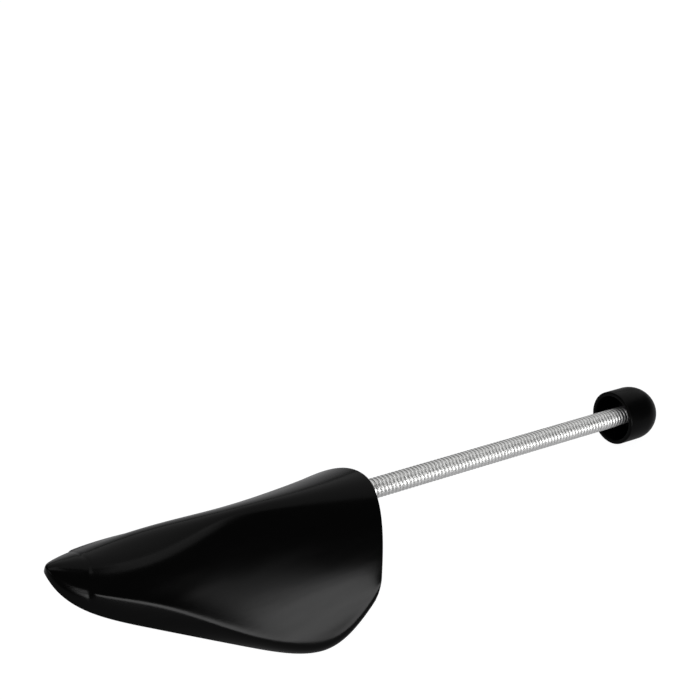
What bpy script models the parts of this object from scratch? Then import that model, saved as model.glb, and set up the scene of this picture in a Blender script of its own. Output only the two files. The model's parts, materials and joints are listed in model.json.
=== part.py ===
"""Shoe shaper: a hollow toe shell, a close-wound spring and a heel knob on one straight axis.

The parts are drawn in the frame of the spring's axis: X runs from the tip of the toe to the
heel, Y across, Z from the open underside to the crown. An empty then tips that frame so that
the shell's two rear corners and the knob rest on Z = 0.
"""
import math

import bmesh
import bpy
import numpy as np
from mathutils import Matrix, Vector

# Driving sizes, in metres
SHELL_LENGTH = 0.1655
SHELL_HALF_WIDTH = 0.0490
SHELL_DEPTH = 0.0547
SHELL_WALL = 0.0020
CROWN_OVER_AXIS = 0.0082
NOSE_TAPER_LENGTH = 0.0080

SPRING_DIAMETER = 0.0108
SPRING_WIRE = 0.0022
SPRING_FREE_LENGTH = 0.2230
SPRING_CURLS = 88
SPRING_END_RISE = 0.0044

SOCKET_MOUTH_FROM_TIP = 0.1260
SOCKET_GRIP = 0.0180
SOCKET_WALL = 0.0013
SOCKET_FLOOR = 0.0020

KNOB_DIAMETER = 0.0310
KNOB_BARREL = 0.0140
KNOB_WALL = 0.0025
KNOB_EDGE_RADIUS = 0.0007
KNOB_RECESS = 0.0116
KNOB_BOSS_WALL = 0.0016
KNOB_GRIP = 0.0100

SEAT_CLEARANCE = 0.0003
CUT_OVERRUN = 0.0010
WELD = 0.00001

# Counts that set how finely the round forms are drawn
SHELL_ROWS = 26
SHELL_COLUMNS = 18
CURL_POINTS = 8
SPRING_END_POINTS = 4
KNOB_STEPS = 40
DOME_POINTS = 8
SOCKET_SIDES = 32
SOCKET_STATIONS = 5
SOCKET_TOP_POINTS = 5
TIP_HALVINGS = 60

# Each bend of the spring is taken at a hinge this share of its free length from its end
HINGE_SHARE = 0.25

# The power by which the rows crowd towards the nose, the share of the wall's thickness that is
# left at the bow, and the share of the columns that lie above the ridge
ROW_CROWDING = 1.2
BOW_WALL_SHARE = 0.15
FLANK_COLUMNS_SHARE = 0.7

# The shell's outer face hangs on three lines of its +Y side: the crown in the middle, the ridge
# where the flank turns down into the skirt, and the rim. Each has a point at seven stations from
# the bow of the nose to the rear rim. The points are shares of the shell's length, half width
# and depth, with heights counted from the lowest point of the crown's line.
STATION_SHARES = (0.0, 0.056, 0.150, 0.313, 0.531, 0.763, 1.0)
CROWN_SHARES = (
    (0.005, 0.0, 0.026), (0.063, 0.0, 0.037), (0.196, 0.0, 0.000), (0.373, 0.0, 0.001),
    (0.534, 0.0, 0.061), (0.726, 0.0, 0.047), (1.000, 0.0, 0.001),
)
RIDGE_SHARES = (
    (0.005, 0.000, 0.026), (0.020, 0.089, -0.021), (0.072, 0.227, -0.093),
    (0.215, 0.424, -0.221), (0.458, 0.708, -0.619), (0.714, 0.982, -0.853),
    (0.925, 0.841, -0.567),
)
RIM_SHARES = (
    (0.003, 0.000, -0.044), (0.004, 0.094, -0.059), (0.027, 0.239, -0.134),
    (0.149, 0.459, -0.352), (0.433, 0.726, -0.740), (0.713, 0.997, -1.000),
    (0.908, 0.897, -0.685),
)

# Shape of each station's section, as shares of the way from crown to ridge: how far outward the
# flank leaves the crown, and how far inward and up it still lies before the ridge. The last one
# is how far the skirt bulges, as a share of the ridge's distance from the middle.
FLANK_SHARES = (
    (0.53, 0.09, 0.45, 0.03), (0.57, 0.13, 0.43, 0.03), (0.63, 0.19, 0.39, 0.05),
    (0.57, 0.25, 0.38, 0.05), (0.33, 0.33, 0.33, 0.03), (0.29, 0.28, 0.30, 0.02),
    (0.50, 0.21, 0.21, 0.00),
)
CROWN_HANDLE_SHARE = 0.1
RIDGE_HANDLE_SHARE = 0.3

# Sizes that follow from the ones above
SPRING_RADIUS = SPRING_DIAMETER / 2
KNOB_RADIUS = KNOB_DIAMETER / 2
BORE_RADIUS = SPRING_RADIUS + SEAT_CLEARANCE
SOCKET_RADIUS = BORE_RADIUS + SOCKET_WALL
SOCKET_BOTTOM_X = SOCKET_MOUTH_FROM_TIP - SOCKET_GRIP
BOSS_FACE_X = SOCKET_MOUTH_FROM_TIP + SPRING_FREE_LENGTH
KNOB_FACE_X = BOSS_FACE_X - KNOB_RECESS
DOME_CENTRE_X = KNOB_FACE_X + KNOB_BARREL
FRONT_HINGE_X = SOCKET_MOUTH_FROM_TIP + SPRING_FREE_LENGTH * HINGE_SHARE
REAR_HINGE_X = BOSS_FACE_X - SPRING_FREE_LENGTH * HINGE_SHARE


def clear_scene():
    for thing in list(bpy.data.objects):
        bpy.data.objects.remove(thing, do_unlink=True)


def new_collection(name):
    collection = bpy.data.collections.new(name)
    bpy.context.scene.collection.children.link(collection)
    return collection


def plain_material(name, colour, roughness, metallic=0.0):
    material = bpy.data.materials.new(name)
    material.use_nodes = True
    shader = material.node_tree.nodes["Principled BSDF"]
    shader.inputs["Base Color"].default_value = (*colour, 1.0)
    shader.inputs["Roughness"].default_value = roughness
    shader.inputs["Metallic"].default_value = metallic
    material.diffuse_color = (*colour, 1.0)
    return material


def mesh_object(name, mesh, collection, parent=None, material=None):
    thing = bpy.data.objects.new(name, mesh)
    collection.objects.link(thing)
    thing.parent = parent
    if material:
        mesh.materials.append(material)
    return thing


def cutter_object(name, mesh, parent):
    cutter = mesh_object(name, mesh, cutters, parent)
    cutter.hide_render = True
    cutter.display_type = 'WIRE'
    return cutter


def boolean(target, tool, operation):
    step = target.modifiers.new(tool.name, 'BOOLEAN')
    step.operation = operation
    step.solver = 'EXACT'
    step.object = tool


def smooth_through(marks, values, at):
    """Natural cubic curve that passes through the values at the marks, read at other places."""
    steps = np.diff(marks)
    count = len(marks)
    system = np.eye(count)
    right = np.zeros_like(values)
    for k in range(1, count - 1):
        system[k, k - 1:k + 2] = steps[k - 1], 2 * (steps[k - 1] + steps[k]), steps[k]
        right[k] = 6 * ((values[k + 1] - values[k]) / steps[k]
                        - (values[k] - values[k - 1]) / steps[k - 1])
    bends = np.linalg.solve(system, right.reshape(count, -1)).reshape(values.shape)
    result = []
    for place in at:
        k = int(np.clip(np.searchsorted(marks, place) - 1, 0, count - 2))
        b = (place - marks[k]) / steps[k]
        a = 1 - b
        result.append(a * values[k] + b * values[k + 1]
                      + ((a ** 3 - a) * bends[k] + (b ** 3 - b) * bends[k + 1]) * steps[k] ** 2 / 6)
    return np.array(result)


def shell_net():
    """Control points of each station's section: four of the flank, then two of the skirt."""
    sizes = np.array([SHELL_LENGTH, SHELL_HALF_WIDTH, SHELL_DEPTH])
    lines = np.array([CROWN_SHARES, RIDGE_SHARES, RIM_SHARES]) * sizes
    lines[:, :, 2] += CROWN_OVER_AXIS
    crown, ridge, rim = lines
    way = ridge - crown
    along, across, up = np.eye(3)
    out, inward, rise, bulge = np.array(FLANK_SHARES).T[:, :, None]
    crown_handle = crown + way * (along * CROWN_HANDLE_SHARE + across * out)
    ridge_handle = ridge - way * (along * RIDGE_HANDLE_SHARE + across * inward + up * rise)
    skirt_handle = (ridge + rim) / 2 + ridge * across * bulge * 2
    return np.array([crown, crown_handle, ridge_handle, ridge, skirt_handle, rim])


def shell_grid(rows, columns):
    """Points of the shell's outer face on its +Y half, rows toe to heel, columns crown to rim."""
    net = shell_net().transpose(1, 0, 2)
    marks = np.array(STATION_SHARES)

    # Stations of the other half go in before the bow, so that the nose comes out round. The
    # flank's points are mirrored there in the ridge's height too: the bow is the flank's pole.
    before = net[:0:-1] * np.array([1.0, -1.0, 1.0])
    before[:, :3, 2] = 2 * before[:, 3:4, 2] - before[:, :3, 2]
    both = np.concatenate([before, net])
    both_marks = np.concatenate([-marks[:0:-1], marks])
    sections = smooth_through(both_marks, both, np.linspace(0.0, 1.0, rows) ** ROW_CROWDING)
    crown, crown_handle, ridge_handle, ridge, skirt_handle, rim = sections.transpose(1, 0, 2)

    # Each section is a cubic curve from crown to ridge and a square one from ridge to rim
    flank_columns = round(columns * FLANK_COLUMNS_SHARE)
    t = np.linspace(0.0, 1.0, flank_columns)[:, None, None]
    flank = ((1 - t) ** 3 * crown + 3 * (1 - t) ** 2 * t * crown_handle
             + 3 * (1 - t) * t ** 2 * ridge_handle + t ** 3 * ridge)
    t = np.linspace(0.0, 1.0, columns - flank_columns + 1)[1:, None, None]
    skirt = (1 - t) ** 2 * ridge + 2 * (1 - t) * t * skirt_handle + t ** 2 * rim
    grid = np.concatenate([flank, skirt]).transpose(1, 0, 2)
    grid[0, :, 1] = 0.0
    grid[:, 0, 1] = 0.0
    return grid


def shell_skin():
    """The +Y half of the outer face as an open mesh, whose flank closes to a point at the bow."""
    grid = shell_grid(SHELL_ROWS, SHELL_COLUMNS)
    form = bmesh.new()
    verts = [[form.verts.new(point) for point in row] for row in grid]
    for near, far in zip(verts, verts[1:]):
        for a, b, c, d in zip(near, far, far[1:], near[1:]):
            form.faces.new((a, b, c, d))
    bmesh.ops.remove_doubles(form, verts=form.verts, dist=WELD)
    mesh = bpy.data.meshes.new("toe_shell")
    form.to_mesh(mesh)
    form.free()
    mesh.shade_smooth()
    return mesh


def mid_wall_heights(grid, x, places):
    """Heights of the middle of the wall above the axis at one X, for places across."""
    section = np.array([[np.interp(x, column[:, 0], column[:, k]) for k in (1, 2)]
                        for column in grid.transpose(1, 0, 2)])
    heights = np.interp(places, section[:, 0], section[:, 1])
    slopes = np.gradient(section[:, 1], section[:, 0])
    tilts = np.hypot(1.0, np.interp(places, section[:, 0], slopes))
    return heights - SHELL_WALL / 2 * tilts


def rod_mesh(name, radius, x_from, x_to, sides):
    """A round bar along X."""
    length = x_to - x_from
    place = Matrix.Translation((x_from + length / 2, 0, 0)) @ Matrix.Rotation(math.pi / 2, 4, 'Y')
    form = bmesh.new()
    bmesh.ops.create_cone(form, cap_ends=True, segments=sides, radius1=radius, radius2=radius,
                          depth=length, matrix=place)
    mesh = bpy.data.meshes.new(name)
    form.to_mesh(mesh)
    form.free()
    return mesh


def socket_mesh():
    """Block for the socket: half round below, with straight cheeks that run up into the crown."""
    grid = shell_grid(SHELL_ROWS, SHELL_COLUMNS)
    under = [math.pi + math.pi * k / (SOCKET_SIDES // 2) for k in range(SOCKET_SIDES // 2 + 1)]
    lower = [(SOCKET_RADIUS * math.cos(a), SOCKET_RADIUS * math.sin(a)) for a in under]
    across = np.linspace(SOCKET_RADIUS, -SOCKET_RADIUS, SOCKET_TOP_POINTS)
    form = bmesh.new()
    rings = []
    for x in np.linspace(SOCKET_BOTTOM_X - SOCKET_FLOOR, SOCKET_MOUTH_FROM_TIP, SOCKET_STATIONS):
        upper = zip(across, mid_wall_heights(grid, x, np.abs(across)))
        rings.append([form.verts.new((x, y, z)) for y, z in [*lower, *upper]])
    for near, far in zip(rings, rings[1:]):
        for a, b, c, d in zip(near, far, far[1:] + far[:1], near[1:] + near[:1]):
            form.faces.new((a, b, c, d))
    form.faces.new(rings[0])
    form.faces.new(rings[-1][::-1])
    bmesh.ops.recalc_face_normals(form, faces=form.faces)
    mesh = bpy.data.meshes.new("socket_block")
    form.to_mesh(mesh)
    form.free()
    return mesh


def build_toe_shell(parent):
    """Moulded shell, open below and behind, with the spring's socket under the crown."""
    shell = mesh_object("toe_shell", shell_skin(), parts, parent, black_plastic)
    taper = shell.vertex_groups.new(name="wall_share")
    bow = Vector(shell_net()[0, 0])
    for vertex in shell.data.vertices:
        from_bow = (vertex.co - bow).length / NOSE_TAPER_LENGTH
        taper.add([vertex.index], min(1.0, BOW_WALL_SHARE + from_bow), 'REPLACE')
    mirror = shell.modifiers.new("other_half", 'MIRROR')
    mirror.use_axis = (False, True, False)
    mirror.use_clip = True
    mirror.merge_threshold = WELD
    wall = shell.modifiers.new("wall", 'SOLIDIFY')
    wall.thickness = SHELL_WALL
    wall.offset = -1.0
    wall.use_even_offset = True
    wall.vertex_group = taper.name
    boolean(shell, cutter_object("socket_block", socket_mesh(), parent), 'UNION')
    bore = rod_mesh("socket_bore", BORE_RADIUS, SOCKET_BOTTOM_X,
                    SOCKET_MOUTH_FROM_TIP + CUT_OVERRUN, SOCKET_SIDES)
    boolean(shell, cutter_object("socket_bore", bore, parent), 'DIFFERENCE')
    return shell


def spring_path():
    """Centre line of the wire: curls at an even rise, ends turned to run straight along X."""
    coil_radius = (SPRING_DIAMETER - SPRING_WIRE) / 2
    x_from = SOCKET_BOTTOM_X + SEAT_CLEARANCE
    x_to = BOSS_FACE_X + KNOB_GRIP - SEAT_CLEARANCE
    length = x_to - x_from
    whole_turn = 2 * math.pi
    end_height = SPRING_WIRE + SPRING_END_RISE
    rise = (length - 2 * end_height) / SPRING_CURLS

    # The wire leaves its straight end and swings through a quarter turn into the coil
    front_end = []
    for k in range(SPRING_END_POINTS + 1):
        share = k / SPRING_END_POINTS
        climb = SPRING_WIRE + SPRING_END_RISE * math.sin(share * math.pi / 2)
        front_end.append((climb, -whole_turn / 4 * (1 - share ** 2)))
    curls = [(end_height + rise * k / CURL_POINTS, whole_turn * k / CURL_POINTS)
             for k in range(1, SPRING_CURLS * CURL_POINTS)]
    rear_end = [(length - climb, whole_turn * SPRING_CURLS - angle)
                for climb, angle in reversed(front_end)]

    path = [(x_from + climb, coil_radius * math.cos(angle), coil_radius * math.sin(angle))
            for climb, angle in front_end + curls + rear_end]
    path.insert(0, (x_from, *path[0][1:]))
    path.append((x_to, *path[-1][1:]))
    return np.array(path)


def least_gap(path):
    """Least gap between the wire and itself, from each point to the runs of the next curls."""
    nearest_run = CURL_POINTS // 2 + 1
    farthest_run = CURL_POINTS * 3
    least = math.inf
    for k in range(len(path) - nearest_run - 1):
        others = path[k + nearest_run:k + farthest_run]
        starts = others[:-1]
        runs = others[1:] - starts
        share = np.clip(((path[k] - starts) * runs).sum(axis=1) / (runs ** 2).sum(axis=1), 0, 1)
        nearest = starts + runs * share[:, None]
        least = min(least, float(np.linalg.norm(path[k] - nearest, axis=1).min()))
    return least - SPRING_WIRE


def build_spring(parent):
    """One unbroken wire, wound into a long cylinder and gripped at both ends."""
    path = spring_path()
    print("spring: least gap to itself %.5f m over %d points" % (least_gap(path), len(path)))
    curve = bpy.data.curves.new("spring", 'CURVE')
    curve.dimensions = '3D'
    curve.bevel_depth = SPRING_WIRE / 2
    curve.bevel_resolution = 1
    curve.use_fill_caps = True
    line = curve.splines.new('POLY')
    line.points.add(len(path) - 1)
    for point, place in zip(line.points, path):
        point.co = (place[0] - FRONT_HINGE_X, place[1], place[2], 1.0)
    curve.materials.append(bright_steel)
    spring = bpy.data.objects.new("spring", curve)
    parts.objects.link(spring)
    spring.parent = parent
    return spring


def knob_profile():
    """Half section of the knob as (radius, height), height rising towards the open face."""
    inner = KNOB_RADIUS - KNOB_WALL
    boss = BORE_RADIUS + KNOB_BOSS_WALL
    boss_foot = math.asin(boss / inner)
    points = []
    # Dome outside, from the axis to the barrel
    for k in range(DOME_POINTS + 1):
        angle = math.pi / 2 * k / DOME_POINTS
        points.append((KNOB_RADIUS * math.sin(angle), -KNOB_RADIUS * math.cos(angle)))
    # Rounded rim at the open face
    edge = KNOB_EDGE_RADIUS
    points.append((KNOB_RADIUS, KNOB_BARREL - edge))
    points.append((KNOB_RADIUS - edge * (1 - math.cos(math.pi / 4)),
                   KNOB_BARREL - edge * (1 - math.sin(math.pi / 4))))
    points.append((KNOB_RADIUS - edge, KNOB_BARREL))
    points.append((inner, KNOB_BARREL))
    # Dome inside, from the barrel to the foot of the boss
    for k in range(DOME_POINTS):
        angle = math.pi / 2 - (math.pi / 2 - boss_foot) * k / (DOME_POINTS - 1)
        points.append((inner * math.sin(angle), -inner * math.cos(angle)))
    # Boss with its blind bore
    boss_face = KNOB_BARREL - KNOB_RECESS
    points.append((boss, boss_face))
    points.append((BORE_RADIUS, boss_face))
    points.append((BORE_RADIUS, boss_face - KNOB_GRIP))
    points.append((0.0, boss_face - KNOB_GRIP))
    return points


def build_heel_knob(parent):
    """Hollow moulded knob: a barrel and a dome, with a boss inside that grips the spring."""
    mesh = bpy.data.meshes.new("heel_knob")
    form = bmesh.new()
    verts = [form.verts.new((radius, 0.0, height)) for radius, height in knob_profile()[::-1]]
    for a, b in zip(verts, verts[1:]):
        form.edges.new((a, b))
    form.to_mesh(mesh)
    form.free()
    knob = mesh_object("heel_knob", mesh, parts, parent, black_plastic)
    knob.location = (DOME_CENTRE_X - REAR_HINGE_X, 0.0, 0.0)
    knob.rotation_euler = (0.0, -math.pi / 2, 0.0)
    turned = knob.modifiers.new("turned", 'SCREW')
    turned.steps = turned.render_steps = KNOB_STEPS
    turned.use_merge_vertices = True
    turned.merge_threshold = WELD
    turned.use_smooth_shade = True
    return knob


def rest_pose(shell_points):
    """Tip of the axis, and the shift, that put the rear corners and the knob on the floor."""
    def shell_low(tip):
        return (shell_points[:, 2] * math.cos(tip) - shell_points[:, 0] * math.sin(tip)).min()

    def knob_low(tip):
        return -DOME_CENTRE_X * math.sin(tip) - KNOB_RADIUS

    low, high = 0.0, math.pi / 4
    for _ in range(TIP_HALVINGS):
        middle = (low + high) / 2
        if shell_low(middle) < knob_low(middle):
            low = middle
        else:
            high = middle
    tip = (low + high) / 2
    front = (shell_points[:, 0] * math.cos(tip) + shell_points[:, 2] * math.sin(tip)).min()
    back = DOME_CENTRE_X * math.cos(tip) + KNOB_RADIUS
    return tip, (-(front + back) / 2, 0.0, -knob_low(tip))


def empty(name, parent, x):
    frame = bpy.data.objects.new(name, None)
    bpy.context.scene.collection.objects.link(frame)
    frame.parent = parent
    frame.location = (x, 0.0, 0.0)
    return frame


clear_scene()
parts = new_collection("shoe_shaper")
cutters = new_collection("cutters")
black_plastic = plain_material("black_moulded_plastic", (0.0035, 0.0035, 0.0038), 0.3)
bright_steel = plain_material("nickel_plated_spring_steel", (0.66, 0.65, 0.62), 0.18, 1.0)

axis_frame = empty("axis_frame", None, 0.0)
spring_pivot = empty("spring_pivot", axis_frame, FRONT_HINGE_X)
heel_pivot = empty("heel_pivot", spring_pivot, REAR_HINGE_X - FRONT_HINGE_X)

toe_shell = build_toe_shell(axis_frame)
build_spring(spring_pivot)
build_heel_knob(heel_pivot)

bpy.context.view_layer.update()
skin = toe_shell.evaluated_get(bpy.context.evaluated_depsgraph_get()).to_mesh()
skin_points = np.array([vertex.co for vertex in skin.vertices])
tip_angle, shift = rest_pose(skin_points)
axis_frame.location = Vector(shift)
axis_frame.rotation_euler = (0.0, tip_angle, 0.0)
print("axis frame: tipped %.4f degrees, at %.5f, %.5f, %.5f" % (math.degrees(tip_angle), *shift))
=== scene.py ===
"""Shoe shaper on a pale table: a moulded toe shell and a heel knob joined by a long spring."""
import json
import math

import bmesh
import bpy
import numpy as np
from mathutils import Euler, Matrix, Vector


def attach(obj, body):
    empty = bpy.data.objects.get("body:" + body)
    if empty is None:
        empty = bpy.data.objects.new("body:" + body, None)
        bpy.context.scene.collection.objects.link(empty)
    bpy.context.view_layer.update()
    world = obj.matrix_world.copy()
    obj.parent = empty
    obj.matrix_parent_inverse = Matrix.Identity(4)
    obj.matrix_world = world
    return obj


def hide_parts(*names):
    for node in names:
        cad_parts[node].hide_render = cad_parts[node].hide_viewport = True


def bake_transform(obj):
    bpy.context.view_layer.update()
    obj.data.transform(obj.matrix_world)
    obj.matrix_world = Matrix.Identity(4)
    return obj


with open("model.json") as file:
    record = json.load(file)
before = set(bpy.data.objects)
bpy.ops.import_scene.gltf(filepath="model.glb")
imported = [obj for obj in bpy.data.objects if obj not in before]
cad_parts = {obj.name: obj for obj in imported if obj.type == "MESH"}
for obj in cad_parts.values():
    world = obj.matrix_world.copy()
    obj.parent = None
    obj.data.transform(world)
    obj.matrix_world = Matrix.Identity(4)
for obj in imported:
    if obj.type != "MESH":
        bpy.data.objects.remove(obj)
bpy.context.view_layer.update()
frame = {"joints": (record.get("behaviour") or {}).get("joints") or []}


# The shaper lies on the shell's two rear corners and on the knob, so its straight axis slopes
# down to the heel. The toe's tip, the spring and the knob are all placed on that axis, and the
# two joints, at a quarter and at three quarters of the free spring, are two points of it.
FRONT_BEND_FROM_TIP = 0.18175

front_bend, rear_bend = (Vector(joint["pos_m"]) for joint in frame["joints"])
down_to_heel = (rear_bend - front_bend).normalized()
tip_of_axis = front_bend - down_to_heel * FRONT_BEND_FROM_TIP
axis_tilt = Matrix.Rotation(math.atan2(-down_to_heel.z, down_to_heel.x), 4, 'Y')
on_axis = Matrix.Translation(tip_of_axis) @ axis_tilt


# Toe shell: one injection moulding in black polystyrene, 2 mm thick, open below and behind. It
# comes out of a polished mould, with a soft ridge between flank and skirt, a fine step behind
# the rounder toe cap, a rolled lip round the rim, and the spring's socket under the crown.
SHELL_LENGTH = 0.1655
SHELL_HALF_WIDTH = 0.0490
SHELL_DEPTH = 0.0538
SHELL_WALL = 0.0020
CROWN_OVER_AXIS = 0.0076
NOSE_TAPER_LENGTH = 0.0080
BOW_WALL_SHARE = 0.15
SHELL_ROWS = 260
SHELL_COLUMNS = 76
ROW_CROWDING = 1.2
FLANK_COLUMNS_SHARE = 0.7
CROWN_HANDLE_SHARE = 0.1
RIDGE_HANDLE_SHARE = 0.3
RIDGE_SOFTENING = 6
CAP_SOFTENING = 150
CAP_SOFT_COLUMNS = 9
CAP_END = 0.0187
CAP_END_SWEEP = 0.24
CAP_STEP_WIDTH = 0.0012
CAP_GROOVE_DEPTH = 0.00012
GROOVE_FADE_COLUMNS = 10
CORNER_PASSES = 90
CORNER_REACH = 60
RIM_STEPS = 8
RIM_BULGE_SHARE = 0.3
RIM_SQUARENESS = 0.6
WELD = 0.000001
CREASE_ANGLE = math.radians(35)

# Three lines run from the tip to the rear: the crown, the ridge where the flank turns down into
# the skirt, and the rim. Points are shares of length, half width and depth.
STATION_SHARES = (0.0, 0.056, 0.150, 0.313, 0.531, 0.763, 1.0)
CROWN_SHARES = (
    (0.003, 0.0, 0.038), (0.043, 0.0, 0.048), (0.146, 0.0, 0.000), (0.325, 0.0, 0.006),
    (0.541, 0.0, 0.072), (0.761, 0.0, 0.046), (1.000, 0.0, 0.013),
)
RIDGE_SHARES = (
    (0.003, 0.000, 0.038), (0.021, 0.119, -0.010), (0.089, 0.273, -0.096),
    (0.262, 0.487, -0.273), (0.494, 0.805, -0.648), (0.738, 0.976, -0.861),
    (0.924, 0.835, -0.557),
)
RIM_SHARES = (
    (0.001, 0.000, -0.033), (0.015, 0.132, -0.100), (0.073, 0.302, -0.253),
    (0.234, 0.528, -0.476), (0.489, 0.781, -0.818), (0.730, 1.000, -1.000),
    (0.907, 0.890, -0.684),
)
# How far the flank's curve is drawn outward at the crown, then inward and up at the ridge, as
# shares of the way between the two, and how far the skirt bellies, as a share of the width
FLANK_SHARES = (
    (0.51, 0.11, 0.44, 0.01), (0.54, 0.16, 0.42, 0.02), (0.59, 0.27, 0.36, 0.02),
    (0.57, 0.32, 0.41, 0.02), (0.24, 0.33, 0.38, 0.02), (0.28, 0.20, 0.33, 0.02),
    (0.48, 0.18, 0.27, 0.00),
)

SPRING_DIAMETER = 0.0108
SOCKET_CLEARANCE = 0.0003
SOCKET_MOUTH_FROM_TIP = 0.1260
SOCKET_GRIP = 0.0180
SOCKET_WALL = 0.0013
SOCKET_FLOOR = 0.0020
SOCKET_FAIRING = 0.0140
SOCKET_FILLET = 0.0016
SOCKET_BOW_SHARE = 0.35
SOCKET_FAIRING_FULLNESS = 0.8
SOCKET_FILLET_STEPS = 6
SOCKET_STATIONS = 24
SOCKET_STEPS = 16
BORE_STEPS = 64


def smooth_through(marks, values, at):
    """Natural cubic curve that passes through the values at the marks, read at other places."""
    steps = np.diff(marks)
    count = len(marks)
    system = np.eye(count)
    right = np.zeros_like(values)
    for k in range(1, count - 1):
        system[k, k - 1:k + 2] = steps[k - 1], 2 * (steps[k - 1] + steps[k]), steps[k]
        right[k] = 6 * ((values[k + 1] - values[k]) / steps[k]
                        - (values[k] - values[k - 1]) / steps[k - 1])
    bends = np.linalg.solve(system, right.reshape(count, -1)).reshape(values.shape)
    spans = np.clip(np.searchsorted(marks, at) - 1, 0, count - 2)
    shape = (-1,) + (1,) * (values.ndim - 1)
    step = steps[spans].reshape(shape)
    b = (at - marks[spans]).reshape(shape) / step
    a = 1 - b
    return (a * values[spans] + b * values[spans + 1]
            + ((a ** 3 - a) * bends[spans] + (b ** 3 - b) * bends[spans + 1]) * step ** 2 / 6)


def unit(vectors):
    return vectors / np.linalg.norm(vectors, axis=-1, keepdims=True)


def shell_net():
    """Control points of each station's section: four of the flank, then two of the skirt."""
    sizes = np.array([SHELL_LENGTH, SHELL_HALF_WIDTH, SHELL_DEPTH])
    lines = np.array([CROWN_SHARES, RIDGE_SHARES, RIM_SHARES]) * sizes
    lines[:, :, 2] += CROWN_OVER_AXIS
    crown, ridge, rim = lines
    rim = rim + unit(ridge - rim) * SHELL_WALL * RIM_BULGE_SHARE
    way = ridge - crown
    along, across, up = np.eye(3)
    out, inward, rise, bulge = np.array(FLANK_SHARES).T[:, :, None]
    crown_handle = crown + way * (along * CROWN_HANDLE_SHARE + across * out)
    ridge_handle = ridge - way * (along * RIDGE_HANDLE_SHARE + across * inward + up * rise)
    skirt_handle = (ridge + rim) / 2 + ridge * across * bulge * 2
    return np.array([crown, crown_handle, ridge_handle, ridge, skirt_handle, rim])


def softened(face, passes):
    """The face with every corner across it rounded; the rim stays where it is."""
    flip = np.array([1.0, -1.0, 1.0])
    for _ in range(passes):
        wide = np.concatenate([face[:, 1:2] * flip, face], axis=1)
        face = np.concatenate([(wide[:, :-2] + 2 * wide[:, 1:-1] + wide[:, 2:]) / 4,
                               face[:, -1:]], axis=1)
    return face


def corner_rounded(face):
    """The face with its rear lower corner drawn in to a round one, and the rows near it."""
    rim = np.concatenate([face[:, -1], face[-1, -2::-1]])
    smooth = rim.copy()
    for _ in range(CORNER_PASSES):
        smooth[1:-1] = (smooth[:-2] + 2 * smooth[1:-1] + smooth[2:]) / 4

    def share(steps_away):
        return np.cos(np.minimum(steps_away / CORNER_REACH, 1.0) * math.pi / 2) ** 2

    pull = (smooth - rim) * share(np.abs(np.arange(len(rim)) - (SHELL_ROWS - 1)))[:, None]
    down, across = pull[:SHELL_ROWS, None], pull[SHELL_ROWS - 1:][::-1][None]
    row_share = share(np.arange(SHELL_ROWS)[::-1])[:, None, None]
    column_share = share(np.arange(SHELL_COLUMNS)[::-1])[None, :, None]
    return (face + down * column_share + across * row_share
            - pull[SHELL_ROWS - 1] * row_share * column_share)


def face_normals(face):
    """Outward normals of the half face. On the middle plane they lie in that plane."""
    normals = np.cross(np.gradient(face, axis=1), np.gradient(face, axis=0))
    normals[:, 0, 1] = 0.0
    normals[0] = (1.0, 0.0, 0.0)
    normals = unit(normals)
    if normals[SHELL_ROWS // 2, 0, 2] < 0:
        normals = -normals
    normals[0] = (-1.0, 0.0, 0.0)
    return normals


def shell_face():
    """Outer face of the +Y half, rows toe to heel and columns crown to rim."""
    net = shell_net().transpose(1, 0, 2)
    marks = np.array(STATION_SHARES)
    before = net[:0:-1] * np.array([1.0, -1.0, 1.0])
    before[:, :3, 2] = 2 * before[:, 3:4, 2] - before[:, :3, 2]
    both = np.concatenate([before, net])
    both_marks = np.concatenate([-marks[:0:-1], marks])
    sections = smooth_through(both_marks, both, np.linspace(0.0, 1.0, SHELL_ROWS) ** ROW_CROWDING)
    crown, crown_handle, ridge_handle, ridge, skirt_handle, rim = sections.transpose(1, 0, 2)
    flank_columns = round(SHELL_COLUMNS * FLANK_COLUMNS_SHARE)
    t = np.linspace(0.0, 1.0, flank_columns)[:, None, None]
    flank = ((1 - t) ** 3 * crown + 3 * (1 - t) ** 2 * t * crown_handle
             + 3 * (1 - t) * t ** 2 * ridge_handle + t ** 3 * ridge)
    t = np.linspace(0.0, 1.0, SHELL_COLUMNS - flank_columns + 1)[1:, None, None]
    skirt = (1 - t) ** 2 * ridge + 2 * (1 - t) * t * skirt_handle + t ** 2 * rim
    sharp = np.concatenate([flank, skirt]).transpose(1, 0, 2)
    crisp, round_cap = softened(sharp, RIDGE_SOFTENING), softened(sharp, CAP_SOFTENING)
    behind_cap = crisp[:, :, 0] + CAP_END_SWEEP * crisp[:, :, 1] - CAP_END
    on_cap = 0.5 - 0.5 * np.tanh(behind_cap / CAP_STEP_WIDTH)
    from_ridge = np.arange(SHELL_COLUMNS) - flank_columns
    on_cap *= np.exp(-(from_ridge / CAP_SOFT_COLUMNS) ** 2)
    face = crisp + (round_cap - crisp) * on_cap[:, :, None]
    groove = CAP_GROOVE_DEPTH * np.exp(-(behind_cap / CAP_STEP_WIDTH) ** 2)
    to_rim = SHELL_COLUMNS - 1 - np.arange(SHELL_COLUMNS)
    groove *= np.clip(to_rim / GROOVE_FADE_COLUMNS, 0.0, 1.0)
    face[:, :, 1] = np.maximum(face[:, :, 1], 0.0)
    face[0, :, 1] = 0.0
    face[:, 0, 1] = 0.0
    face = face - face_normals(face) * groove[:, :, None]
    face[:, 0, 1] = 0.0
    return corner_rounded(face)


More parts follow.
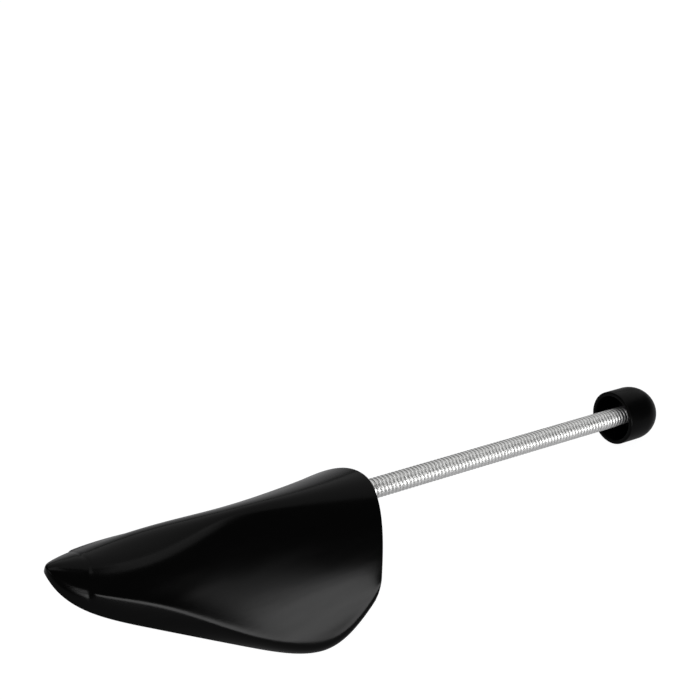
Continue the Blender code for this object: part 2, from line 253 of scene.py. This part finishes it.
def half_shell_mesh():
    """Closed wall of the shell: outer face, inner face and a rounded lip between them."""
    outer = shell_face()
    normals = face_normals(outer)
    from_bow = np.linalg.norm(outer - outer[0, 0], axis=2) / NOSE_TAPER_LENGTH
    wall = SHELL_WALL * np.minimum(1.0, BOW_WALL_SHARE + from_bow)
    inner = outer - normals * wall[:, :, None]
    inner[:, 0, 1] = 0.0

    def rim(grid):
        return np.concatenate([grid[:, -1], grid[-1, -2::-1]])

    edge, edge_inside = rim(outer), rim(inner)
    run = np.gradient(edge, axis=0)
    out = unit(np.cross(run, rim(normals)))
    if out[-1, 0] < 0:
        out = -out
    out[[0, -1], 1] = 0.0
    out = unit(out)
    half_wall = (edge - edge_inside) / 2
    thickness = np.linalg.norm(half_wall, axis=1, keepdims=True) * 2
    lip = []
    for k in range(RIM_STEPS + 1):
        angle = math.pi * k / RIM_STEPS
        across = math.copysign(abs(math.cos(angle)) ** RIM_SQUARENESS, math.cos(angle))
        bulge = math.sin(angle) ** RIM_SQUARENESS * RIM_BULGE_SHARE
        lip.append((edge + edge_inside) / 2 + half_wall * across + out * thickness * bulge)

    form = bmesh.new()
    for grid in (outer, inner, np.array(lip)):
        for side in (1.0, -1.0):
            verts = [[form.verts.new((x, y * side, z)) for x, y, z in row] for row in grid]
            for near, far in zip(verts, verts[1:]):
                for a, b, c, d in zip(near, far, far[1:], near[1:]):
                    form.faces.new((a, b, c, d))
    bmesh.ops.remove_doubles(form, verts=form.verts, dist=WELD)
    bmesh.ops.dissolve_degenerate(form, edges=form.edges, dist=WELD)
    bmesh.ops.recalc_face_normals(form, faces=form.faces)
    mesh = bpy.data.meshes.new("toe_shell_wall")
    form.to_mesh(mesh)
    form.free()
    return mesh, inner


def socket_mesh(inner):
    """Socket under the crown: half round below, cheeks filleted into the crown, faired ahead."""
    radius = SPRING_DIAMETER / 2 + SOCKET_CLEARANCE + SOCKET_WALL
    form = bmesh.new()
    rings = []
    start = SOCKET_MOUTH_FROM_TIP - SOCKET_GRIP - SOCKET_FLOOR - SOCKET_FAIRING
    for x in np.linspace(start, SOCKET_MOUTH_FROM_TIP, SOCKET_STATIONS):
        section = np.array([[np.interp(x, column[:, 0], column[:, k]) for k in (1, 2)]
                            for column in inner.transpose(1, 0, 2)])
        drawn = min(1.0, (x - start) / SOCKET_FAIRING)
        drawn = math.sin(drawn * math.pi / 2) ** SOCKET_FAIRING_FULLNESS
        half = radius * (SOCKET_BOW_SHARE + (1 - SOCKET_BOW_SHARE) * drawn)
        wall_height = float(np.interp(half + SOCKET_FILLET, section[:, 0], section[:, 1]))
        top = float(np.interp(0.0, section[:, 0], section[:, 1])) + SHELL_WALL / 2
        bottom = -radius * drawn + (wall_height - SOCKET_FILLET) * (1 - drawn)
        sink = min(0.0, wall_height - SOCKET_FILLET)
        line = []
        for k in range(SOCKET_STEPS + 1):
            angle = math.pi / 2 * k / SOCKET_STEPS
            line.append((half * math.sin(angle), bottom + (sink - bottom) * (1 - math.cos(angle))))
        for k in range(1, SOCKET_FILLET_STEPS + 1):
            angle = math.pi / 2 * k / SOCKET_FILLET_STEPS
            line.append((half + SOCKET_FILLET * (1 - math.cos(angle)),
                         wall_height - SOCKET_FILLET * (1 - math.sin(angle))))
        # The top lies inside the shell's wall, so that the two grow together without a gap
        line.append((half + SOCKET_FILLET, wall_height + SHELL_WALL / 3))
        line.append((half / 2, top - SHELL_WALL / 6))
        ring = [(-y, z) for y, z in line[::-1]] + line[1:] + [(0.0, top)]
        rings.append([form.verts.new((x, y, z)) for y, z in ring])
    for near, far in zip(rings, rings[1:]):
        for a, b, c, d in zip(near, far, far[1:] + far[:1], near[1:] + near[:1]):
            form.faces.new((a, b, c, d))
    form.faces.new(rings[0])
    form.faces.new(rings[-1][::-1])
    bmesh.ops.recalc_face_normals(form, faces=form.faces)
    mesh = bpy.data.meshes.new("socket_block")
    form.to_mesh(mesh)
    form.free()
    return mesh


def round_bar(name, radius, x_from, x_to, steps):
    """A round bar along the axis."""
    place = Matrix.Translation(((x_from + x_to) / 2, 0, 0)) @ Matrix.Rotation(math.pi / 2, 4, 'Y')
    form = bmesh.new()
    bmesh.ops.create_cone(form, cap_ends=True, segments=steps, radius1=radius, radius2=radius,
                          depth=x_to - x_from, matrix=place)
    mesh = bpy.data.meshes.new(name)
    form.to_mesh(mesh)
    form.free()
    return mesh


def piece_from_mesh(mesh, material):
    """A finished mesh, drawn along the axis, becomes an object in its place on the table."""
    mesh.transform(on_axis)
    mesh.materials.clear()
    mesh.materials.append(material)
    piece = bpy.data.objects.new(mesh.name, mesh)
    bpy.context.scene.collection.objects.link(piece)
    return piece


def baked_mesh(name, draft):
    """The draft with its modifiers, as a plain mesh; the draft itself goes."""
    ready = draft.evaluated_get(bpy.context.evaluated_depsgraph_get())
    mesh = bpy.data.meshes.new_from_object(ready)
    mesh.name = name
    bpy.data.objects.remove(draft, do_unlink=True)
    return mesh


def linear(hex_colour):
    """An sRGB hex colour in linear light, with alpha."""
    shares = [int(hex_colour[k:k + 2], 16) / 255 for k in (1, 3, 5)]
    return (*[s / 12.92 if s <= 0.04045 else ((s + 0.055) / 1.055) ** 2.4 for s in shares], 1.0)


def add_node(tree, kind, inputs=None, **settings):
    """Adds a node with its settings. An input takes a value, or an output to be linked to it."""
    node = tree.nodes.new(kind)
    for name, value in settings.items():
        setattr(node, name, value)
    for socket, value in (inputs or {}).items():
        if isinstance(value, bpy.types.NodeSocket):
            tree.links.new(value, node.inputs[socket])
        else:
            node.inputs[socket].default_value = value
    return node


def new_material(name):
    """An empty material with its output node."""
    material = bpy.data.materials.new(name)
    material.use_nodes = True
    tree = material.node_tree
    tree.nodes.clear()
    return material, tree, add_node(tree, 'ShaderNodeOutputMaterial')


# Black polystyrene from a polished mould: near black, glossy, with faint flow streaks and the
# fine rub marks of handling, which soften the lamp's reflection unevenly
moulded_polystyrene, tree, output = new_material("moulded_black_polystyrene")
place = add_node(tree, 'ShaderNodeTexCoord').outputs["Object"]
flow = add_node(tree, 'ShaderNodeMapping', {"Vector": place, "Scale": (14, 90, 90)})
streaks = add_node(tree, 'ShaderNodeTexNoise', {"Vector": flow.outputs[0], "Scale": 1.0,
                                                "Detail": 4.0, "Roughness": 0.6})
roughness = add_node(tree, 'ShaderNodeMapRange', {"Value": streaks.outputs[0], "From Min": 0.3,
                                                  "From Max": 0.7, "To Min": 0.15,
                                                  "To Max": 0.25})
rubs = add_node(tree, 'ShaderNodeMapping', {"Vector": place, "Scale": (60, 900, 900)})
rub_noise = add_node(tree, 'ShaderNodeTexNoise', {"Vector": rubs.outputs[0], "Scale": 1.0,
                                                  "Detail": 3.0})
bump = add_node(tree, 'ShaderNodeBump', {"Height": rub_noise.outputs[0], "Strength": 0.04,
                                         "Distance": 0.0002})
shader = add_node(tree, 'ShaderNodeBsdfPrincipled', {
    "Base Color": linear("#020202"), "Roughness": roughness.outputs[0], "IOR": 1.50,
    "Specular IOR Level": 0.11, "Normal": bump.outputs[0]})
tree.links.new(shader.outputs[0], output.inputs["Surface"])

wall_mesh, inner_face = half_shell_mesh()
draft = bpy.data.objects.new("shell_draft", wall_mesh)
socket_block = bpy.data.objects.new("socket_block", socket_mesh(inner_face))
socket_bore = bpy.data.objects.new("socket_bore", round_bar(
    "socket_bore", SPRING_DIAMETER / 2 + SOCKET_CLEARANCE, SOCKET_MOUTH_FROM_TIP - SOCKET_GRIP,
    SOCKET_MOUTH_FROM_TIP + SOCKET_WALL, BORE_STEPS))
for thing in (draft, socket_block, socket_bore):
    bpy.context.scene.collection.objects.link(thing)
for cutter, operation in ((socket_block, 'UNION'), (socket_bore, 'DIFFERENCE')):
    step = draft.modifiers.new(cutter.name, 'BOOLEAN')
    step.object = cutter
    step.operation = operation
    step.solver = 'EXACT'
shell_mesh = baked_mesh("toe_shell_moulding", draft)
for cutter in (socket_block, socket_bore):
    bpy.data.objects.remove(cutter, do_unlink=True)
shell_mesh.shade_smooth()
shell_mesh.set_sharp_from_angle(angle=CREASE_ANGLE)
toe_shell = piece_from_mesh(shell_mesh, moulded_polystyrene)
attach(toe_shell, "toe")
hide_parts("toe_shell")


# Spring: one close-wound coil of 2.2 mm spring steel wire, bright nickel plated, about 110
# turns that all but touch. Its ends are pressed into the shell's socket and the knob's boss.
# It is drawn in two lengths that meet in the middle.
SPRING_WIRE = 0.0022
SPRING_PITCH = 0.00224
SPRING_FREE_LENGTH = 0.2230
SPRING_REAR_GRIP = 0.0100
TURN_POINTS = 24
WIRE_SIDES = 10

# Nickel on drawn wire: silver white, with a soft gleam on each turn and dark lines between
nickel, tree, output = new_material("nickel_plated_spring_wire")
place = add_node(tree, 'ShaderNodeTexCoord').outputs["Object"]
drawn = add_node(tree, 'ShaderNodeTexNoise', {"Vector": place, "Scale": 900.0, "Detail": 3.0})
roughness = add_node(tree, 'ShaderNodeMapRange', {"Value": drawn.outputs[0], "From Min": 0.3,
                                                  "From Max": 0.7, "To Min": 0.38,
                                                  "To Max": 0.50})
shader = add_node(tree, 'ShaderNodeBsdfPrincipled', {
    "Base Color": linear("#f4f4f3"), "Metallic": 1.0, "Roughness": roughness.outputs[0]})
tree.links.new(shader.outputs[0], output.inputs["Surface"])


def coil_tree():
    """Geometry Nodes: a wire wound round the X axis from Start to End."""
    tree = bpy.data.node_groups.new("close_wound_coil", 'GeometryNodeTree')
    sizes = {"Start": 'NodeSocketFloat', "End": 'NodeSocketFloat', "Pitch": 'NodeSocketFloat',
             "Coil Radius": 'NodeSocketFloat', "Wire Radius": 'NodeSocketFloat',
             "Points per Turn": 'NodeSocketInt', "Wire Sides": 'NodeSocketInt',
             "Wire Finish": 'NodeSocketMaterial'}
    for name, kind in sizes.items():
        tree.interface.new_socket(name, in_out='INPUT', socket_type=kind)
    tree.interface.new_socket("Geometry", in_out='OUTPUT', socket_type='NodeSocketGeometry')
    given = add_node(tree, 'NodeGroupInput').outputs
    length = add_node(tree, 'ShaderNodeMath', {0: given["End"], 1: given["Start"]},
                      operation='SUBTRACT').outputs[0]
    turns = add_node(tree, 'ShaderNodeMath', {0: length, 1: given["Pitch"]},
                     operation='DIVIDE').outputs[0]
    count = add_node(tree, 'ShaderNodeMath', {0: turns, 1: given["Points per Turn"]},
                     operation='MULTIPLY').outputs[0]
    line = add_node(tree, 'GeometryNodeMeshLine', {"Count": count})
    index = add_node(tree, 'GeometryNodeInputIndex').outputs[0]
    last = add_node(tree, 'ShaderNodeMath', {0: count, 1: 1.0}, operation='SUBTRACT').outputs[0]
    rounded = add_node(tree, 'ShaderNodeMath', {0: last}, operation='ROUND').outputs[0]
    share = add_node(tree, 'ShaderNodeMath', {0: index, 1: rounded}, operation='DIVIDE').outputs[0]
    x = add_node(tree, 'ShaderNodeMath', {0: share, 1: length, 2: given["Start"]},
                 operation='MULTIPLY_ADD').outputs[0]
    turned = add_node(tree, 'ShaderNodeMath', {0: x, 1: given["Pitch"]},
                      operation='DIVIDE').outputs[0]
    angle = add_node(tree, 'ShaderNodeMath', {0: turned, 1: math.tau},
                     operation='MULTIPLY').outputs[0]
    y, z = (add_node(tree, 'ShaderNodeMath', {
        0: add_node(tree, 'ShaderNodeMath', {0: angle}, operation=turn).outputs[0],
        1: given["Coil Radius"]}, operation='MULTIPLY').outputs[0] for turn in ('COSINE', 'SINE'))
    point = add_node(tree, 'ShaderNodeCombineXYZ', {"X": x, "Y": y, "Z": z}).outputs[0]
    wound = add_node(tree, 'GeometryNodeSetPosition', {"Geometry": line.outputs[0],
                                                       "Position": point})
    path = add_node(tree, 'GeometryNodeMeshToCurve', {"Mesh": wound.outputs[0]})
    wire = add_node(tree, 'GeometryNodeCurvePrimitiveCircle', {
        "Resolution": given["Wire Sides"], "Radius": given["Wire Radius"]})
    tube = add_node(tree, 'GeometryNodeCurveToMesh', {
        "Curve": path.outputs[0], "Profile Curve": wire.outputs[0], "Fill Caps": True})
    smooth = add_node(tree, 'GeometryNodeSetShadeSmooth', {"Geometry": tube.outputs[0]})
    real = add_node(tree, 'GeometryNodeRealizeInstances', {"Geometry": smooth.outputs[0]})
    coated = add_node(tree, 'GeometryNodeSetMaterial', {"Geometry": real.outputs[0],
                                                        "Material": given["Wire Finish"]})
    add_node(tree, 'NodeGroupOutput', {"Geometry": coated.outputs[0]})
    return tree


def wound_length(name, coil, start, end):
    """One length of the spring as a plain mesh."""
    draft = bpy.data.objects.new(name, bpy.data.meshes.new(name))
    bpy.context.scene.collection.objects.link(draft)
    winding = draft.modifiers.new("winding", 'NODES')
    winding.node_group = coil
    values = {"Start": start, "End": end, "Pitch": SPRING_PITCH,
              "Coil Radius": (SPRING_DIAMETER - SPRING_WIRE) / 2, "Wire Radius": SPRING_WIRE / 2,
              "Points per Turn": TURN_POINTS, "Wire Sides": WIRE_SIDES, "Wire Finish": nickel}
    for item in coil.interface.items_tree:
        if item.in_out == 'INPUT':
            winding[item.identifier] = values[item.name]
    return piece_from_mesh(baked_mesh(name, draft), nickel)


coil = coil_tree()
spring_front = SOCKET_MOUTH_FROM_TIP - SOCKET_GRIP + SPRING_WIRE
spring_middle = SOCKET_MOUTH_FROM_TIP + SPRING_FREE_LENGTH / 2
spring_rear = SOCKET_MOUTH_FROM_TIP + SPRING_FREE_LENGTH + SPRING_REAR_GRIP - SPRING_WIRE
spring_front_half = wound_length("spring_front_half", coil, spring_front, spring_middle)
spring_rear_half = wound_length("spring_rear_half", coil, spring_middle, spring_rear)
for half, near, far, bend in ((spring_front_half, "toe", "spring", front_bend),
                              (spring_rear_half, "spring", "heel", rear_bend)):
    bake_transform(half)
    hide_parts("spring")


# Heel knob: a hollow moulded cup, a short barrel closed by a round dome, with a boss deep
# inside that grips the spring. Two fingers hook behind its open rim. It comes from a mould of
# its own in the same black plastic, a little duller than the shell.
KNOB_DIAMETER = 0.0310
KNOB_BARREL = 0.0140
KNOB_WALL = 0.0025
KNOB_EDGE_RADIUS = 0.0007
KNOB_RECESS = 0.0116
KNOB_BOSS_WALL = 0.0016
DOME_POINTS = 28
EDGE_POINTS = 4
KNOB_STEPS = 96

# The same polystyrene from a less polished mould: black, with a broad dull gleam on the dome
moulded_cup, tree, output = new_material("moulded_black_polystyrene_cup")
place = add_node(tree, 'ShaderNodeTexCoord').outputs["Object"]
grain = add_node(tree, 'ShaderNodeTexNoise', {"Vector": place, "Scale": 120.0, "Detail": 4.0})
roughness = add_node(tree, 'ShaderNodeMapRange', {"Value": grain.outputs[0], "From Min": 0.3,
                                                  "From Max": 0.7, "To Min": 0.28,
                                                  "To Max": 0.38})
shader = add_node(tree, 'ShaderNodeBsdfPrincipled', {
    "Base Color": linear("#020202"), "Roughness": roughness.outputs[0], "IOR": 1.50,
    "Specular IOR Level": 0.08})
tree.links.new(shader.outputs[0], output.inputs["Surface"])


def knob_profile():
    """Half section as (distance along the axis from the dome's centre, radius), dome first."""
    radius, inner = KNOB_DIAMETER / 2, KNOB_DIAMETER / 2 - KNOB_WALL
    bore = SPRING_DIAMETER / 2 + SOCKET_CLEARANCE
    boss = bore + KNOB_BOSS_WALL
    edge = KNOB_EDGE_RADIUS
    quarter = math.pi / 2
    line = [(radius * math.cos(quarter * k / DOME_POINTS),
             radius * math.sin(quarter * k / DOME_POINTS)) for k in range(DOME_POINTS + 1)]
    face = -KNOB_BARREL
    for side, corner in ((1, radius - edge), (-1, inner + edge)):
        turn = [(face + edge * (1 - math.sin(quarter * k / EDGE_POINTS)),
                 corner + side * edge * math.cos(quarter * k / EDGE_POINTS))
                for k in range(EDGE_POINTS + 1)]
        line += turn if side > 0 else turn[::-1]
    foot = math.asin(boss / inner)
    line += [(inner * math.sin((quarter - foot) * k / DOME_POINTS),
              inner * math.cos((quarter - foot) * k / DOME_POINTS))
             for k in range(DOME_POINTS + 1)]
    boss_face = face + KNOB_RECESS
    line += [(boss_face, boss), (boss_face, bore),
             (boss_face + SPRING_REAR_GRIP, bore), (boss_face + SPRING_REAR_GRIP, 0.0)]
    return line


profile = bpy.data.meshes.new("knob_profile")
form = bmesh.new()
verts = [form.verts.new((along, 0.0, radius)) for along, radius in knob_profile()]
for a, b in zip(verts, verts[1:]):
    form.edges.new((a, b))
form.to_mesh(profile)
form.free()
draft = bpy.data.objects.new("knob_draft", profile)
bpy.context.scene.collection.objects.link(draft)
turned = draft.modifiers.new("turned", 'SCREW')
turned.axis = 'X'
turned.steps = turned.render_steps = KNOB_STEPS
turned.use_merge_vertices = True
turned.merge_threshold = WELD
knob_mesh = baked_mesh("heel_knob_moulding", draft)
form = bmesh.new()
form.from_mesh(knob_mesh)
bmesh.ops.recalc_face_normals(form, faces=form.faces)
form.to_mesh(knob_mesh)
form.free()
knob_mesh.shade_smooth()
knob_mesh.set_sharp_from_angle(angle=CREASE_ANGLE)
dome_centre = SOCKET_MOUTH_FROM_TIP + SPRING_FREE_LENGTH - KNOB_RECESS + KNOB_BARREL
knob_mesh.transform(Matrix.Translation((dome_centre, 0, 0)))
heel_knob = piece_from_mesh(knob_mesh, moulded_cup)
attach(heel_knob, "heel")
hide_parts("heel_knob")


# Table: a plain pale sheet that runs far past the object. The camera sees it white, and it
# keeps the object's soft shadow.
TABLE_HALF = 6.0
TABLE_WHITE = 0.95
GLOSSY_SHARE = 0.3

# Matt white sheet: plain white to the camera, a soft grey gleam from below on the object
table_sheet, tree, output = new_material("matt_white_table_sheet")
rays = add_node(tree, 'ShaderNodeLightPath').outputs
seen = add_node(tree, 'ShaderNodeMath', {0: rays["Is Glossy Ray"], 1: GLOSSY_SHARE,
                                         2: rays["Is Camera Ray"]}, operation='MULTIPLY_ADD')
seen = add_node(tree, 'ShaderNodeMath', {0: seen.outputs[0], 1: rays["Is Transmission Ray"]},
                operation='ADD')
matt = add_node(tree, 'ShaderNodeBsdfDiffuse', {"Color": linear("#77777a")})
glow = add_node(tree, 'ShaderNodeEmission', {"Color": linear("#ffffff")})
lit = add_node(tree, 'ShaderNodeMath', {0: seen.outputs[0], 1: TABLE_WHITE},
               operation='MULTIPLY')
tree.links.new(lit.outputs[0], glow.inputs["Strength"])
both = add_node(tree, 'ShaderNodeAddShader', {0: matt.outputs[0], 1: glow.outputs[0]})
tree.links.new(both.outputs[0], output.inputs["Surface"])
sheet = bpy.data.meshes.new("table")
sheet.from_pydata([(-TABLE_HALF, -TABLE_HALF, 0), (TABLE_HALF, -TABLE_HALF, 0),
                   (TABLE_HALF, TABLE_HALF, 0), (-TABLE_HALF, TABLE_HALF, 0)],
                  [], [(0, 1, 2, 3)])
sheet.materials.append(table_sheet)
table = bpy.data.objects.new("table", sheet)
bpy.context.scene.collection.objects.link(table)


# Light: one low softbox in front, which lies as the long highlight on the flank. Weaker ones
# behind and overhead grey the crown, and one at the left lights the spring and catches the toe
# cap. The room is dim, so the rest of the black plastic stays black.
def softbox(name, spot, aim, width, height, radiance):
    """An even rectangular lamp whose face has this radiance."""
    lamp = bpy.data.lights.new(name, 'AREA')
    lamp.shape = 'RECTANGLE'
    lamp.size = width
    lamp.size_y = height
    lamp.energy = radiance * math.pi * width * height
    thing = bpy.data.objects.new(name, lamp)
    bpy.context.scene.collection.objects.link(thing)
    thing.location = spot
    thing.rotation_euler = (Vector(aim) - Vector(spot)).to_track_quat('-Z', 'Y').to_euler()
    thing.visible_camera = False


SHELL_MIDDLE = (-0.09, 0.0, 0.03)
softbox("front_softbox", (0.017, -0.870, 0.230), SHELL_MIDDLE, 0.76, 0.29, 7.5)
softbox("rear_softbox", (0.45, 0.58, 0.65), SHELL_MIDDLE, 1.4, 1.2, 0.55)
softbox("left_softbox", (-0.95, -0.35, 0.65), SHELL_MIDDLE, 0.6, 0.6, 2.0)
softbox("top_softbox", (0.0, 0.0, 1.25), (0.0, 0.0, 0.0), 0.9, 0.6, 1.3)

room = bpy.data.worlds.new("studio_room")
bpy.context.scene.world = room
room.use_nodes = True
tree = room.node_tree
tree.nodes.clear()
rays = add_node(tree, 'ShaderNodeLightPath').outputs
dim = add_node(tree, 'ShaderNodeBackground', {"Color": linear("#ffffff"), "Strength": 0.10})
white = add_node(tree, 'ShaderNodeBackground', {"Color": linear("#ffffff"), "Strength": 1.0})
seen = add_node(tree, 'ShaderNodeMath', {0: rays["Is Camera Ray"],
                                         1: rays["Is Transmission Ray"]}, operation='ADD')
mix = add_node(tree, 'ShaderNodeMixShader', {0: seen.outputs[0], 1: dim.outputs[0],
                                             2: white.outputs[0]})
add_node(tree, 'ShaderNodeOutputWorld', {"Surface": mix.outputs[0]})


# Camera: the photograph's own view, from the left and well above, fitted to the outlines of
# the shell, the spring and the knob.
lens = bpy.data.cameras.new("camera")
lens.sensor_width = 36.0
lens.lens = 59.14
camera = bpy.data.objects.new("camera", lens)
bpy.context.scene.collection.objects.link(camera)
camera.location = (-0.2578, -0.3416, 0.4469)
camera.rotation_euler = Euler((math.radians(52.58), math.radians(-2.49), math.radians(-31.54)))
bpy.context.scene.camera = camera

bpy.context.scene.view_settings.view_transform = 'Standard'
